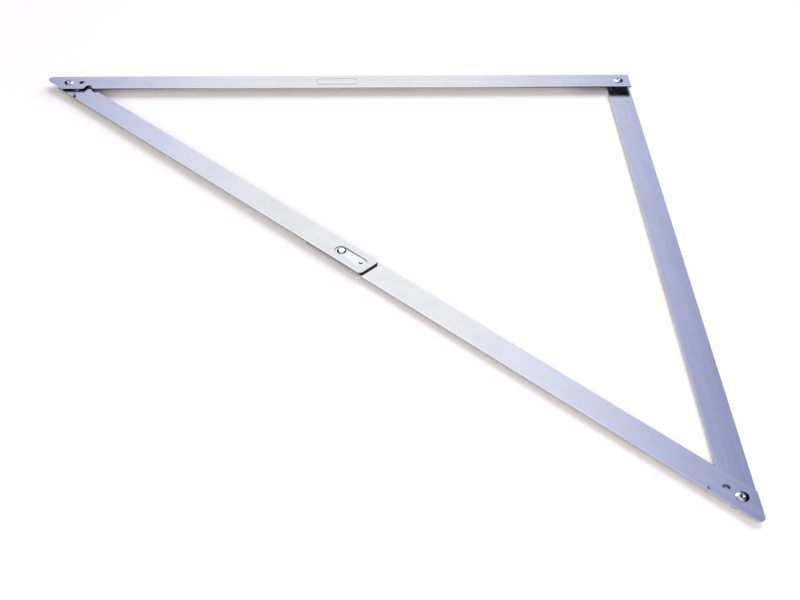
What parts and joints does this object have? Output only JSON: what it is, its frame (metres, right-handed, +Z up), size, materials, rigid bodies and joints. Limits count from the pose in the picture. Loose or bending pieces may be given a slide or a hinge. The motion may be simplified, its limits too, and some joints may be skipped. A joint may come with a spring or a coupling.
{
  "type": "folding square",
  "caption": "Folding square for marking and checking right angles and 45 degree lines: four riveted bars, with a spring catch that locks the long side straight.",
  "frame": {"origin": "middle of the open square's box, on the surface it lies on", "axes": "+X towards the plain leg, +Y towards the badge leg, +Z up out of the face with the rivet heads"},
  "size_m": [0.6032, 0.6032, 0.0091],
  "materials": {
    "bar": "satin, clear anodised, finely brushed along the bar",
    "rivet": "bright nickel plated steel",
    "spring": "bright stainless spring steel",
    "washer": "dull zinc plated steel"
  },
  "bodies": {
    "badge_leg": {"badge_leg": "bar", "left_rivet": "rivet", "corner_rivet": "rivet", "left_washer": "washer", "corner_collar": "washer"},
    "plain_leg": {"plain_leg": "bar", "right_rivet": "rivet", "right_washer": "washer"},
    "catch_brace": {"catch_brace": "bar", "left_stop_pin": "rivet", "middle_rivet": "rivet", "middle_washer": "washer", "catch_spring": "spring"},
    "catch": {"catch_pin": "rivet"},
    "plain_brace": {"plain_brace": "bar", "right_stop_pin": "rivet", "middle_rivet_tail": "rivet"}
  },
  "joints": [
    {"name": "corner_fold", "type": "hinge", "parent": "badge_leg", "child": "plain_leg", "pos_m": [0.28972, 0.28972, 0], "axis": [0, 0, -1], "range_deg": [0, 88.2], "deforming": ["catch_pin"]},
    {"name": "left_fold", "type": "hinge", "parent": "badge_leg", "child": "catch_brace", "pos_m": [-0.27925, 0.28972, 0], "axis": [0, 0, 1], "range_deg": [0, 44.63]},
    {"name": "right_fold", "type": "hinge", "parent": "plain_leg", "child": "plain_brace", "pos_m": [0.28972, -0.27925, 0], "axis": [0, 0, -1], "range_deg": [0, 44.63]},
    {"name": "catch_lift", "type": "slide", "parent": "catch_brace", "child": "catch", "axis": [0, 0, 1], "range_m": [0, 0.0012], "stiffness_N_per_m": 1500, "deforming": ["catch_spring"]}
  ],
  "couplings": [
    {"joint": "left_fold", "follows": "corner_fold", "ratio": 0.50597},
    {"joint": "right_fold", "follows": "corner_fold", "ratio": 0.50597}
  ]
}
